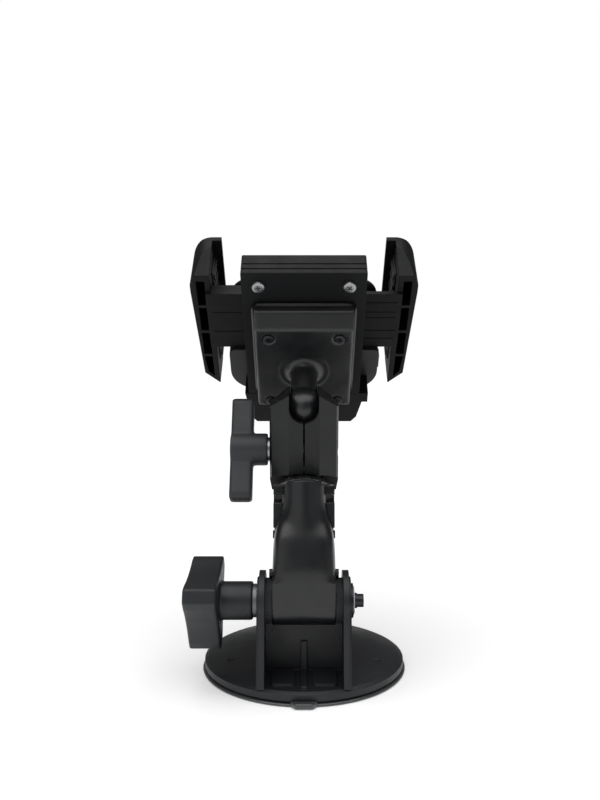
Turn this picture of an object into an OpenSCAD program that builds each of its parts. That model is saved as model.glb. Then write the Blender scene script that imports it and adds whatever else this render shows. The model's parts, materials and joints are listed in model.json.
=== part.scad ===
// Phone holder on a suction cup base. Millimetres, +Z up.
// The origin is the centre of the soft pad's flat underside, where the holder
// stands. -Y is the back of the holder, where the arm's pivot stands, and the
// phone faces +Y and leans back over the arm. +X is to the right from behind.

/* [Suction base] */
// Diameter of the round base cover
cover_d = 85; // [76:1:96]
// Height of the soft pad's raised middle
cup_h = 6; // [5.6:0.1:7]
// How far the pad's lip stands out past the cover
cup_lip = 0.9; // [0.5:0.1:2]
// Height of the cover's rim above the surface
rim_z = 5.3; // [4.9:0.1:6.5]
// Rise of the cover from its rim to its middle
dome_h = 6; // [5:0.5:8]
// Top of the hub that the lever's cam bears on
hub_top = 17.5; // [16:0.5:19]
// Width of the release tab on the pad's lip
tab_w = 10.8; // [8:0.2:16]
// Travel of the stem when the lever is thrown
stem_lift = 2.5; // [1.5:0.1:2.7]
// Length of the lever from its pin to its tip
lever_len = 41; // [34:1:44]
// Width of the lever
lever_w = 25; // [18:1:28]

/* [Arm and pivot] */
// Distance of the pivot behind the base's centre
pivot_back = 24; // [22:0.5:26]
// Height of the pivot
pivot_z = 35.5; // [34:0.5:38]
// Width of the arm at the pivot
arm_w = 25.2; // [22:0.2:27]
// Radius of the arm's knuckle
knuckle_r = 9.5; // [9:0.1:10.5]
// Thickness of one ear of the base
ear_t = 3.2; // [2.5:0.1:4]
// Gap between the arm and an ear, filled by a friction washer
ear_gap = 2.8; // [1.5:0.1:3.2]
// Diameter of the pivot bolt
bolt_d = 6; // [5:0.5:7]
// Diameter of the round neck of the arm
rib_d = 17; // [15:0.5:18]
// Backward lean of the arm's neck, in degrees
neck_lean = 12; // [10:1:14]

/* [Ball clamp] */
// Diameter of both balls
ball_d = 17; // [16:0.1:17.2]
// Distance between the centres of the balls
ball_span = 30; // [29.5:0.5:33]
// Lean of the clamp towards the back, in degrees
clamp_lean = 8; // [5:1:10]
// Width of the two clamp halves together
clamp_w = 29; // [27:0.5:33]
// Depth of the clamp from back to front
clamp_d = 25; // [23:0.5:26]
// Length of the bar of the clamp knob
bar_len = 46; // [36:1:56]

/* [Holder] */
// Lean of the holder from upright, in degrees
holder_lean = 44; // [38:1:50]
// Distance from the ball's centre to the ball plate's face
ball_reach = 22; // [20:0.5:26]
// Screw spacing of the ball plate, across
screw_x = 30.2; // [28:0.1:32]
// Screw spacing of the ball plate, up and down
screw_v = 38.1; // [34:0.1:40]
// Width of the ball plate's raised housing at its foot
house_w = 45.6; // [44:0.2:48]
// Height of the ball plate's raised housing
house_v = 54.8; // [52:0.2:58]
// Thickness of the ball plate's raised housing
house_t = 11; // [9:0.5:13]
// Width of the two adapter plates
block_w = 52.4; // [50:0.2:56]
// Thickness of the rear adapter plate
rear_plate_t = 3.2; // [2.5:0.1:4]
// Thickness of the front adapter plate
front_plate_t = 8.8; // [8:0.1:11]
// Width of the cradle across its two lobes
cradle_w = 70.4; // [66:0.2:74]
// Thickness of the cradle's body
cradle_t = 10.6; // [10:0.1:13]

/* [Jaws] */
// Room between each grip and the cradle's side, as the holder is stored
grip_room = 4.55; // [4:0.05:7]
// Depth between the cushion and the jaw lips
phone_t = 12; // [9:0.5:16]
// Thickness of the jaw's hollow side wall
jaw_t = 9; // [8:0.2:11]
// Number of pockets up the back of each jaw
pockets = 4; // [3:1:6]
// Height of the jaw at its back edge
jaw_v = 66.5; // [60:0.5:72]
// How much higher the jaw is at its front lip
jaw_rise = 3; // [1:0.5:8]

/* [Hidden] */

// Fineness of round parts, and the overrun of every cut
$fn = 48;
over = 1;
// Clearances: running fits, sliding fits, faces that pass each other, and the ball sockets
run = 0.05;
slide_gap = 0.2;
gap = 0.3;
socket_gap = 0.2;

// Colours
dark = "#33363a";
black = "#232528";
rubber = "#1c1d1f";
steel = "#c9cccf";

// Suction base
cover_r = cover_d / 2;
cup_r = cover_r + cup_lip;
lip_t = 1.2;
skirt_z = lip_t + slide_gap;
skirt_t = 2;
skirt_edge = 0.5;
pad_top = 3.6;
tab_out = 2.2;
tab_t = 2.6;
tab_tip_share = 0.6;
core_r = 14;
core_t = 1.6;
core_floor = cup_h - core_t - stem_lift - gap;
core_top = cup_h - slide_gap;
boss_wall = 2.4;
boss_r = core_r + boss_wall;
stem_r = 4;
pin_d = 3;
cam_r = 6.5;
cam_low_r = cam_r - stem_lift - gap;
lobe_y = 2;
pin_z = hub_top + gap + cam_r;
lever_t = 3.4;
lever_tip_t = 2.6;
lever_knee_share = 0.6;
lever_slot = 2 * stem_r + 2 * slide_gap;
rim_in = 1.6;
dome_steps = 10;
mark_r = 33;
mark_turn = 24;
mark_len = 4;
mark_w = 1.6;

// Pivot and ears
ear_in = arm_w / 2 + ear_gap;
ear_out = ear_in + ear_t;
ear_tab_t = 2.4;
ear_tab_r = 12;
ear_r = 9.4;
ear_foot_front = 39;
ear_foot_rear = 8;
ear_back_turn = 35;
wall_y = 19.5;
wall_t = 3;
wall_top = pivot_z - knuckle_r - gap;
gusset = 4;
hub_front = 9;
bay_floor = rim_z;
bay_rib_w = 2.3;
bay_rib_out = 2;
bay_rib_h = 1.2;
panel_h = 0.8;
panel_gap = 2.4;
panel_front = 37;
washer_r = 9;
nut_af = 10;
nut_t = 2.6;
tip_r = 2.6;
tip_len = 2.6;
plate_washer_t = 1;
plate_washer_r = 6.8;
cross_pin_d = 3.6;
cross_pin_up = 11;
cross_pin_out = 1.3;

// Base knob, a three-sided hand wheel with cut corners and slightly hollow sides
knob_hub_r = 7.6;
knob_hub_len = 13;
knob_washer_r = 6.6;
knob_collar_t = 1.7;
knob_t = 13;
knob_cut = 20;
knob_point_r = 24.6;
knob_turn = 159;
knob_hollow = 1;
knob_hollow_r = 70;
knob_x = ear_out + knob_collar_t;

// Balls and clamp
ball_r = ball_d / 2;
arm_post_r = 5;
plate_neck_r = 5.8;
end_low = 4.5;
end_high = 7.5;
clamp_len = ball_span + end_low + end_high;
clamp_gap = 0.7;
face_share = 0.22;
edge_share = 0.47;
flat_share = 0.17;
edge_depth_share = 0.25;
slot_room = 0.7;
slot_w = 2 * plate_neck_r + slot_room;
slot_drop = 4;
arch_r = 32;
arch_top = 4.6;
arch_depth = 4.2;
clamp_bolt_d = 4;
clamp_head_d = 9;
clamp_head_t = 3.2;
spring_d = 5.6;
spring_wall = 0.3;
bolt_at = ball_r + socket_gap + spring_wall + slide_gap + spring_d / 2;
spring_wire = 0.7;
spring_half = 5.6;

// Frame of the clamp and the holder: the balls' centres
upper_y = -2;
upper_z = 111.3;
lower_y = upper_y + ball_span * sin(clamp_lean);
lower_z = upper_z - ball_span * cos(clamp_lean);

// The arm's neck, from the middle of its head downwards
head_back = 17.2;
head_y = lower_y - head_back;
head_up = 2.4;
head_z = lower_z + head_up;
head_arch_r = 24.5;
neck_down = (head_z - pivot_z) / cos(neck_lean);
flare_r = arm_w / 2;
flare_top = 16;
flare_low = 25;
flare_round = (pow(flare_low - flare_top, 2) + pow(flare_r - rib_d / 2, 2)) / (4 * (flare_r - rib_d / 2));
web_w = arm_w - gap;
web_y0 = -1;
web_y1 = 3;
head_y0 = -6;
flange_h = 1.8;
notch_w = 3.6;
notch_h = 3.2;
notch_depth = 2.6;
mark_down = 21.5;
body_top = 20;
body_round = 13;
shoulder_z = 27;
shoulder_r = 5;
post_drop = 14;

// Clamp knob
bar_turn = -34;
bar_w = 9.6;
bar_t = 8;
bar_flat_r = 1.6;
bar_end_r = 3.2;
bar_hub_r = 6.9;
bar_washer_t = 0.9;
bar_washer_r = 5.2;
bar_hub_len = 6.2;
bar_nut_af = 8;
bar_nut_t = 4;
bar_x = clamp_w / 2 + bar_washer_t;

// Layers of the holder, measured forward from the ball's centre
house_w0 = ball_reach;
house_w1 = house_w0 + house_t;
rear_w1 = house_w1 + rear_plate_t;
block_w1 = rear_w1 + front_plate_t;
shell_t = 1.5;
arm_t = 2.2;
arm_w0 = block_w1 + shell_t + slide_gap;
arm_w1 = arm_w0 + arm_t;
rack_t = 4.2;
rack_w1 = arm_w1 + rack_t;
cradle_w1 = block_w1 + cradle_t;
cushion_t = 2;
phone_back = cradle_w1 + cushion_t;
lip_w0 = phone_back + phone_t;
jaw_lip_t = 2.6;

// Housing of the ball plate
house_low = -24;
house_high = house_low + house_v;
house_side = 2;
house_slope = 4.6;
house_skirt = 1.6;
house_round = 4;
house_r = 4;
flange_r = 10.6;
flange_t = 3;
screw_head_d = 5;
screw_head_t = 1.1;
screw_d = 3;
screw_sink = 0.6;
// Adapter plates
block_above = 15.2;
block_below = 1.5;
block_screw_up = 8.4;
block_high = house_high + block_above;
block_low = house_low - block_below;
block_r = 0.8;
groove = 0.6;
block_screw_x = 38;
block_screw_v = house_high + block_screw_up;
block_head_d = 5.8;
block_head_t = 1.7;
// Cradle
cradle_high = 26;
cradle_low = -35;
cradle_waist = 50;
cradle_r = 4;
cradle_wall = 2;
lobe_high = -9;
lobe_r = 12;
lobe_top_r = 3;
arm_high = 23.4;
arm_low = -8.4;
rack_v = 9;
teeth_m = 1;
pinion_teeth = 10;
pinion_v = (arm_high + arm_low) / 2;
pinion_r = teeth_m * pinion_teeth / 2;
tooth_out = 0.8;
tooth_in = 1.05;
rack_edge = pinion_r + tooth_in;
tooth_root_share = 0.28;
tooth_tip_share = 0.1;
pinion_root_share = 0.95;
pinion_tip_share = 0.34;
post_d = 3;
arm_inner = 16;
rack_reach = 17;
rib_lines_left = [1.6, 13];
rib_lines_right = [-2.8, 2.1, 9.9, 13.2, 18.7];
rib_line_w = 0.8;
cushion_lines = 2;
cushion_pitch = 9;
// Jaws
grip_t = 1.5;
jaw_in = cradle_w / 2 + grip_room + grip_t;
jaw_out = jaw_in + jaw_t;
jaw_low = -34;
jaw_high = jaw_low + jaw_v;
jaw_step = 3;
jaw_w0 = block_w1 + jaw_step;
lip_in = 4;
lip_round = jaw_t / 2;
jaw_toe = 2;
jaw_heel = 7;
crown_r = 9;
rail_in = 2.4;
rail_out = 1.8;
rung = 1.5;
pocket_depth = 15;
pocket_up = 4.5;
pocket_low = jaw_low + pocket_up;
pocket_pitch = (jaw_high - rung - pocket_low) / pockets;
// Button
button_w = 7.5;
button_t = 5;
button_out = 0.6;
button_travel = 2;
button_in = 12;
button_flange = 1.6;
button_v = arm_low - 2 * cradle_wall - gap - button_flange - button_w / 2;
button_w0 = block_w1 + shell_t + slide_gap;
button_x0 = cradle_w / 2 - cradle_wall - button_in;
button_spring_r = 2.3;
button_spring_wire = 0.6;
button_spring_len = 6.4;
stop_t = 1.6;
// Foot
foot_w = 56;
foot_t = 3;
foot_rail_w = 26;
foot_rail_len = 26;
foot_low = -46;
foot_shelf = 7;
foot_taper = 2.5;
foot_in = 14;
foot_lip_v = 6;
foot_travel = 12;
foot_tab_out = 2.4;
foot_tab_v = 6;

// Frames of the leaning pieces
module clamp_frame() translate([0, lower_y, lower_z]) rotate([clamp_lean, 0, 0]) children();
// In the holder's frame +Y runs up the phone and +Z points out of the holder's back
module holder_frame() translate([0, upper_y, upper_z]) rotate([90 + holder_lean, 0, 0]) children();
module layer(w0, w1) translate([0, 0, -w1]) linear_extrude(w1 - w0) children();
// A profile in Y and Z pushed along X, centred on x
module side(x, wide) translate([x - wide / 2, 0, 0]) rotate([90, 0, 90]) linear_extrude(wide) children();
module rounded(w, h, r) {
    square([w - 2 * r, h], center = true);
    square([w, h - 2 * r], center = true);
    for (x = [-1, 1], y = [-1, 1]) translate([x * (w / 2 - r), y * (h / 2 - r)]) circle(r);
}
module span(w, low, high, r) translate([0, (low + high) / 2]) rounded(w, high - low, r);
module rod_x(r, x0, x1) translate([x0, 0, 0]) rotate([0, 90, 0]) cylinder(r = r, h = x1 - x0);
module at_pivot() translate([0, -pivot_back, pivot_z]) children();
module cross_slots(r, depth) for (a = [0, 90]) rotate(a)
    translate([0, 0, -depth / 2]) cube([3 * r / 2, r / 3, depth + over], center = true);
module pan_screw(head_r, head_t, shank_r, shank_len) difference() {
    union() {
        rotate_extrude() polygon([[0, 0], [head_r, 0], [head_r, head_t / 2],
            [head_r * 4 / 5, head_t * 5 / 6], [head_r * 2 / 5, head_t], [0, head_t]]);
        translate([0, 0, -shank_len]) cylinder(r = shank_r, h = shank_len + head_t / 2);
    }
    translate([0, 0, head_t]) cross_slots(head_r * 2 / 3, head_t);
}

// The soft pad: a disc with a thin lip, a release tab and a raised middle with the stem plate's pocket
module tab_outline() polygon([[-tab_w / 2, -cup_r + tab_out], [-tab_w / 2, -cup_r],
    [-tab_w * tab_tip_share / 2, -cup_r - tab_out], [tab_w * tab_tip_share / 2, -cup_r - tab_out],
    [tab_w / 2, -cup_r], [tab_w / 2, -cup_r + tab_out]]);
module suction_cup() color(rubber) difference() {
    union() {
        rotate_extrude() polygon([[0, 0], [cup_r, 0], [cup_r, lip_t], [cover_r - skirt_t - slide_gap,
            lip_t],
            [cover_r - skirt_t - slide_gap, pad_top], [boss_r, pad_top], [boss_r, cup_h], [0, cup_h]]);
        difference() {
            linear_extrude(tab_t) tab_outline();
            cylinder(r = cover_r + slide_gap, h = tab_t + over);
        }
    }
    translate([0, 0, core_floor]) cylinder(r = core_r + gap, h = cup_h);
}

function dome_z(r) = rim_z + dome_h * (1 - pow(r / (cover_r - rim_in), 2));
module ear_profile(r) {
    inner = r - gap;
    circle(r);
    polygon([[pivot_back - ear_foot_front, bay_floor - gap - pivot_z], [-inner, 0], [0, 0],
        [inner * cos(ear_back_turn), inner * sin(ear_back_turn)],
        [pivot_back + ear_foot_rear, hub_top - pivot_z],
        [pivot_back + ear_foot_rear, bay_floor - gap - pivot_z]]);
}
// The moulded cover: skirt, dome, two ears, the ribbed bay below the arm and the hub for the stem
module base_cover() color(dark) difference() {
    union() {
        difference() {
            rotate_extrude() polygon(concat([[0, cup_h], [boss_r + slide_gap, cup_h],
                [boss_r + slide_gap, pad_top],
                [cover_r - skirt_t, pad_top], [cover_r - skirt_t, skirt_z], [cover_r - skirt_edge, skirt_z],
                [cover_r, skirt_z + skirt_edge], [cover_r, rim_z - rim_in / 2], [cover_r - rim_in, rim_z]],
                [for (i = [dome_steps - 1 : -1 : 0]) let (r = (cover_r - rim_in) * i / dome_steps) [r,
                    dome_z(r)]]));
            translate([-ear_in, -cover_d, bay_floor]) cube([2 * ear_in, cover_d - wall_y, dome_h + over]);
        }
        for (s = [-1, 1]) at_pivot() {
            side(s * (ear_in + ear_t / 2), ear_t) ear_profile(ear_r);
            side(s * (ear_in + ear_tab_t / 2), ear_tab_t) ear_profile(ear_tab_r);
        }
        translate([-ear_in, -wall_y, bay_floor - gap]) cube([2 * ear_in, wall_y + hub_front,
            hub_top - bay_floor + gap]);
        translate([-ear_in, -wall_y, bay_floor]) cube([2 * ear_in, wall_t, wall_top - bay_floor]);
        for (s = [-1, 1]) translate([s * ear_in, 0, wall_top]) mirror([s > 0 ? 1 : 0, 0, 0])
            translate([0, -wall_y, 0]) rotate([90, 0, 0]) linear_extrude(bay_rib_out)
            polygon([[-over, 0], [gusset, 0], [0, -2 * gusset], [-over, -2 * gusset]]);
        translate([-bay_rib_w / 2, -ear_foot_front, bay_floor - gap])
            cube([bay_rib_w, ear_foot_front - wall_y, bay_rib_h + gap]);
        side(0, bay_rib_w) polygon([[-wall_y, bay_floor], [-wall_y - bay_rib_out, bay_floor],
            [-wall_y - bay_rib_out / 2, hub_top], [-wall_y, hub_top]]);
        for (s = [-1, 1]) translate([s * (ear_in / 2 + bay_rib_w / 4), -(panel_front + wall_y) / 2,
            bay_floor - gap])
            linear_extrude(panel_h + gap) rounded(ear_in - bay_rib_w / 2 - 2 * panel_gap,
                panel_front - wall_y - panel_gap, 2 * panel_h);
        for (s = [-1, 1]) rotate(-90 + s * (90 - mark_turn)) translate([mark_r, 0, dome_z(mark_r) - gap])
            linear_extrude(2 * gap) rotate(s * mark_turn) rounded(mark_len, mark_w, mark_w / 3);
    }
    at_pivot() rod_x(bolt_d / 2 + run, -cover_r, cover_r);
    cylinder(r = boss_r + slide_gap, h = cup_h);
    translate([0, 0, cup_h - over]) cylinder(r = stem_r + run, h = cover_d);
    translate([0, 0, cup_h - over]) cylinder(r = core_r + gap, h = over + slide_gap);
    at_pivot() translate([ear_out - nut_t / 2, 0, 0]) rotate([0, 90, 0])
        cylinder(r = nut_af / sqrt(3) + slide_gap, h = nut_t, $fn = 6);
}

// The stem: a plate in the pad, a round shank through the hub, and a bored eye for the lever's pin
module cup_stem() color(black) difference() {
    union() {
        translate([0, 0, core_top - core_t]) cylinder(r = core_r, h = core_t);
        translate([0, 0, core_top - core_t]) cylinder(r = stem_r, h = pin_z - core_top + core_t);
        translate([0, 0, pin_z]) rotate([0, 90, 0]) cylinder(r = stem_r,
            h = 2 * stem_r - 2 * slide_gap, center = true);
    }
    translate([0, 0, pin_z]) rod_x(pin_d / 2, -stem_r - over, stem_r + over);
    for (s = [-1, 1]) translate([s * (2 * stem_r), 0, pin_z + stem_r])
        cube([2 * (stem_r + slide_gap), 4 * stem_r, 4 * stem_r], center = true);
}
module lever_pin() color(steel) translate([0, 0, pin_z]) rod_x(pin_d / 2, -lever_w / 2, lever_w / 2);

// The lever: a cam over the hub and a blade that follows the dome out to the rim
module cam_lever() color(black) difference() {
    translate([0, 0, pin_z]) side(0, lever_w) union() {
        circle(cam_low_r);
        polygon([[0, -cam_low_r], [lobe_y, -cam_r], [hub_front, -cam_r],
            [hub_front + lever_t, -cam_r - lever_knee_share * lever_t], [lever_len,
                rim_z + lever_t / 2 - pin_z],
            [lever_len + lever_tip_t / 2, rim_z + lever_t / 2 + lever_tip_t / 2 - pin_z],
            [lever_len, rim_z + lever_t / 2 + lever_tip_t - pin_z], [hub_front + 2 * lever_t,
                -cam_r + lever_t / 2],
            [hub_front - lever_t / 2, -cam_r + (1 + lever_knee_share) * lever_t], [0, cam_low_r]]);
    }
    translate([0, 0, pin_z]) rod_x(pin_d / 2 + run, -lever_w, lever_w);
    translate([-lever_slot / 2, -2 * cam_r, pin_z - 2 * cam_r])
        cube([lever_slot, 2 * cam_r + hub_front - 2 * gap, 4 * cam_r]);
}

// The right nut sits in a hexagon pocket of its ear and holds the bolt's end
module pivot_nut() color(steel) at_pivot() difference() {
    translate([ear_out - nut_t / 2 + slide_gap, 0, 0]) rotate([0, 90, 0])
        cylinder(r = nut_af / sqrt(3), h = nut_t, $fn = 6);
    rod_x(bolt_d / 2 + run, 0, cover_r);
}
module pivot_washer() color(black) at_pivot() difference() {
    rod_x(plate_washer_r, ear_out, ear_out + plate_washer_t);
    rod_x(nut_af / sqrt(3) + gap, 0, cover_r);
}

// The arm's neck leans from the body up to the head, in front of the clamp's lower end
module neck_frame() translate([0, head_y, head_z]) rotate([-neck_lean, 0, 0]) children();
module arm_side() {
    circle(knuckle_r);
    intersection() {
        translate([-knuckle_r, 0]) square([2 * knuckle_r, body_top + body_round]);
        union() {
            translate([-knuckle_r, 0]) square([2 * knuckle_r, body_top]);
            translate([body_round - knuckle_r, body_top]) circle(body_round);
        }
    }
}
module arm_front() {
    translate([-arm_w / 2, -2 * knuckle_r]) square([arm_w, 2 * knuckle_r + shoulder_z]);
    translate([-arm_w / 2 + shoulder_r, 0]) square([arm_w - 2 * shoulder_r, shoulder_z + shoulder_r]);
    for (s = [-1, 1]) translate([s * (arm_w / 2 - shoulder_r), shoulder_z]) circle(shoulder_r);
}
// The neck's outline: round at the top, with a smooth flare out to the body's width
module neck_outline() difference() {
    union() {
        polygon([[0, -neck_down + knuckle_r], [flare_r, -neck_down + knuckle_r], [flare_r, -flare_low],
            [(flare_r + rib_d / 2) / 2, -(flare_low + flare_top) / 2], [rib_d / 2, -flare_top],
            [rib_d / 2, 2 * flange_h], [0, 2 * flange_h]]);
        intersection() {
            translate([flare_r - flare_round, -flare_low]) circle(flare_round);
            translate([0, -flare_low - flare_round]) square([flare_r, 2 * flare_round]);
        }
    }
    translate([rib_d / 2 + flare_round, -flare_top]) circle(flare_round);
}
// One moulding: knuckle, body with round shoulders, flared neck with its web, arched head, post and ball
module gooseneck_arm() color(dark) difference() {
    union() {
        intersection() {
            at_pivot() side(0, arm_w) arm_side();
            at_pivot() rotate([90, 0, 0]) linear_extrude(4 * knuckle_r, center = true) arm_front();
        }
        intersection() {
            neck_frame() union() {
                rotate_extrude() neck_outline();
                translate([-web_w / 2, web_y0, -neck_down + 2 * knuckle_r])
                    cube([web_w, web_y1 - web_y0, neck_down - 2 * knuckle_r + 2 * flange_h]);
                translate([-arm_w / 2, head_y0, -2 * flange_h]) cube([arm_w, web_y1 - head_y0,
                    4 * flange_h]);
            }
            translate([0, head_y, head_z - head_arch_r]) rotate([90, 0, 0]) union() {
                cylinder(r = head_arch_r, h = 4 * rib_d, center = true);
                translate([-arm_w, -2 * neck_down, -2 * rib_d]) cube([2 * arm_w, 2 * neck_down, 4 * rib_d]);
            }
        }
        translate([0, lower_y, lower_z]) {
            sphere(ball_r);
            rotate([90 + post_drop, 0, 0]) cylinder(r = arm_post_r, h = head_back);
        }
    }
    for (s = [-1, 1]) neck_frame() {
        translate([s * (arm_w / 2 - notch_w / 2) - notch_w / 2 - (s < 0 ? over : 0), head_y0 - over,
            -4 * flange_h - notch_h])
            cube([notch_w + over, notch_depth - head_y0 + over, notch_h]);
        translate([s * web_w / 2 - over / 2, web_y0 - over, -mark_down]) cube([over,
            web_y1 - web_y0 + 2 * over, over]);
    }
    at_pivot() rod_x(bolt_d / 2 + run, -arm_w, arm_w);
    at_pivot() translate([0, 0, cross_pin_up]) rod_x(cross_pin_d / 2, -arm_w, arm_w);
}
module cross_pin() color(black) at_pivot() translate([0, 0, cross_pin_up])
    rod_x(cross_pin_d / 2, -arm_w / 2 - cross_pin_out, arm_w / 2 + cross_pin_out);
module friction_washers() color(black) at_pivot() for (s = [-1, 1]) difference() {
    rod_x(washer_r, s < 0 ? -ear_in : arm_w / 2, s < 0 ? -arm_w / 2 : ear_in);
    rod_x(bolt_d / 2 + run, -cover_r, cover_r);
}

// The base knob: a three-sided wheel on a round hub
module knob_outline() difference() {
    intersection() {
        rotate(knob_turn) circle(knob_point_r, $fn = 3);
        rotate(knob_turn + 60) circle(2 * knob_cut, $fn = 3);
    }
    for (a = [60 : 120 : 300]) rotate(knob_turn + a)
        translate([knob_point_r / 2 - knob_hollow + knob_hollow_r, 0]) circle(knob_hollow_r, $fn = 4 * $fn);
}
module base_knob() color(dark) at_pivot() difference() {
    union() {
        side(-knob_x - knob_hub_len - knob_t / 2, knob_t) knob_outline();
        rod_x(knob_hub_r, -knob_x - knob_hub_len - over, -knob_x);
    }
    rod_x(bolt_d / 2, -knob_x - knob_hub_len, over);
}
module pivot_bolt() color(steel) at_pivot() {
    rod_x(bolt_d / 2, -knob_x - knob_hub_len, ear_out + nut_t);
    rod_x(tip_r, ear_out + nut_t - over, ear_out + nut_t + tip_len);
}
module knob_washer() color(steel) at_pivot() difference() {
    rod_x(knob_washer_r, -knob_x, -ear_out);
    rod_x(bolt_d / 2 + run, -cover_r, 0);
}

// Half the clamp's outline, seen along its length, and its face with cut corners
module clamp_outline() polygon([[clamp_gap / 2, -clamp_d / 2], [clamp_w * face_share,
    -clamp_d * edge_share],
    [clamp_w * edge_share, -clamp_d * edge_depth_share], [clamp_w / 2, -clamp_d * flat_share],
    [clamp_w / 2, clamp_d * flat_share], [clamp_w * edge_share, clamp_d * edge_depth_share],
    [clamp_w * face_share, clamp_d * edge_share], [clamp_gap / 2, clamp_d / 2]]);
module clamp_face() polygon([[0, -end_low], [clamp_w * edge_share, -end_low], [clamp_w / 2, 0],
    [clamp_w / 2, ball_span + end_high / 4], [clamp_w * face_share, ball_span + end_high], [0,
        ball_span + end_high]]);
module clamp_half() difference() {
    intersection() {
        translate([0, 0, -end_low]) linear_extrude(clamp_len) clamp_outline();
        rotate([90, 0, 0]) linear_extrude(2 * clamp_d, center = true) clamp_face();
    }
    for (z = [0, ball_span]) translate([0, 0, z]) sphere(ball_r + socket_gap);
    translate([0, 0, ball_span]) rotate([90, 0, 0]) {
        translate([0, slot_w / 2 - slot_drop]) cylinder(r = slot_w / 2, h = 2 * clamp_d, center = true);
        translate([-slot_w / 2, slot_w / 2 - slot_drop, -clamp_d]) cube([slot_w, 2 * ball_r, 2 * clamp_d]);
    }
    translate([0, -arch_depth, arch_top - arch_r]) rotate([90, 0, 0]) cylinder(r = arch_r, h = clamp_d);
    translate([0, 0, bolt_at]) rod_x(spring_d / 2 + slide_gap, -over, spring_half);
    translate([0, 0, bolt_at]) rod_x(clamp_bolt_d / 2 + slide_gap, 0, clamp_w);
}
module clamp_half_right() color(dark) clamp_frame() difference() {
    clamp_half();
    translate([0, 0, bolt_at]) rod_x(clamp_head_d / 2 + slide_gap, clamp_w / 2 - clamp_head_t, clamp_w);
}
module clamp_half_left() color(dark) clamp_frame() mirror([1, 0, 0]) clamp_half();
module clamp_bolt() color(steel) clamp_frame() translate([0, 0, bolt_at]) difference() {
    union() {
        rod_x(clamp_bolt_d / 2, -bar_x - bar_nut_t, clamp_w / 2 - clamp_head_t);
        rod_x(clamp_head_d / 2, clamp_w / 2 - clamp_head_t, clamp_w / 2 - slide_gap);
    }
    translate([clamp_w / 2 - clamp_head_t / 2, 0, 0]) rotate([0, 90, 0])
        cylinder(d = clamp_head_d / 2, h = clamp_head_t, $fn = 6);
}
module clamp_spring() color(steel) clamp_frame() translate([0, 0, bolt_at]) difference() {
    rod_x(spring_d / 2, -spring_half, spring_half);
    rod_x(spring_d / 2 - spring_wire, -clamp_w, clamp_w);
}
module clamp_washer() color(steel) clamp_frame() translate([0, 0, bolt_at]) difference() {
    rod_x(bar_washer_r, -bar_x, -clamp_w / 2);
    rod_x(clamp_bolt_d / 2 + slide_gap, -clamp_w, 0);
}
// The clamp knob: a round hub on the nut and a bar with rounded ends
module bar_frame() clamp_frame() translate([-bar_x, 0, bolt_at]) rotate([bar_turn, 0, 0]) children();
module t_knob() color(dark) bar_frame() difference() {
    union() {
        rod_x(bar_hub_r, -bar_hub_len - bar_w, 0);
        translate([-bar_hub_len - bar_w / 2, 0, 0]) intersection() {
            rotate([0, 90, 0]) linear_extrude(bar_w, center = true) rounded(bar_len, bar_t, bar_end_r);
            linear_extrude(bar_len, center = true) rounded(bar_w, bar_t, bar_flat_r);
            rotate([90, 0, 0]) linear_extrude(bar_w, center = true) rounded(bar_w, bar_len, bar_flat_r);
        }
    }
    rotate([0, -90, 0]) translate([0, 0, -over]) cylinder(r = bar_nut_af / sqrt(3),
        h = bar_nut_t + over, $fn = 6);
    rod_x(clamp_bolt_d / 2 + slide_gap, -bar_hub_len, over);
}
module t_knob_nut() color(steel) bar_frame() difference() {
    rotate([0, -90, 0]) cylinder(r = bar_nut_af / sqrt(3), h = bar_nut_t, $fn = 6);
    rod_x(clamp_bolt_d / 2 + run, -clamp_w, over);
}

// The ball plate: flange, neck and ball on a raised housing with sloped and rounded shoulders
module house_side_profile() {
    translate([house_low, -house_w1]) square([house_v, house_skirt]);
    polygon([[house_low, -house_w1], [house_low + house_side, -house_w0],
        [house_high - house_slope - house_round / 2, -house_w0],
        [house_high - house_side / 2, -house_w1 + house_t / 2], [house_high - house_side / 4, -house_w1]]);
}
module house_front_profile() polygon([[-house_w / 2, -house_w1], [-house_w / 2, -house_w1 + house_skirt],
    [-house_w / 2 + house_side / 2, -house_w1 + house_skirt], [-house_w / 2 + house_side, -house_w0],
    [house_w / 2 - house_side, -house_w0], [house_w / 2 - house_side / 2, -house_w1 + house_skirt],
    [house_w / 2, -house_w1 + house_skirt], [house_w / 2, -house_w1]]);
module ball_plate() color(dark) holder_frame() difference() {
    union() {
        sphere(ball_r);
        translate([0, 0, -house_w0 - over]) cylinder(r = plate_neck_r, h = house_w0 + over);
        translate([0, 0, -house_w0]) rotate_extrude() difference() {
            square([flange_r, flange_t]);
            translate([plate_neck_r + flange_t + gap, flange_t + gap]) circle(flange_t + gap);
            translate([plate_neck_r + flange_t + gap, gap]) square([flange_r, flange_t]);
        }
        intersection() {
            layer(house_w0 - over, house_w1) span(house_w, house_low, house_high, house_r);
            rotate([90, 0, 90]) linear_extrude(2 * house_w, center = true) house_side_profile();
            rotate([90, 0, 0]) linear_extrude(3 * house_v, center = true) house_front_profile();
        }
    }
    screw_places() {
        cylinder(r = screw_d / 2, h = 3 * house_t, center = true);
        cylinder(r = screw_head_d / 2 + slide_gap, h = house_t);
    }
}
module screw_places() for (x = [-1, 1], v = [-1, 1])
    translate([x * screw_x / 2, v * screw_v / 2, -house_w0 - screw_sink]) children();
module plate_screws() color(black) holder_frame() screw_places()
    pan_screw(screw_head_d / 2, screw_head_t, screw_d / 2, house_t);

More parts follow.
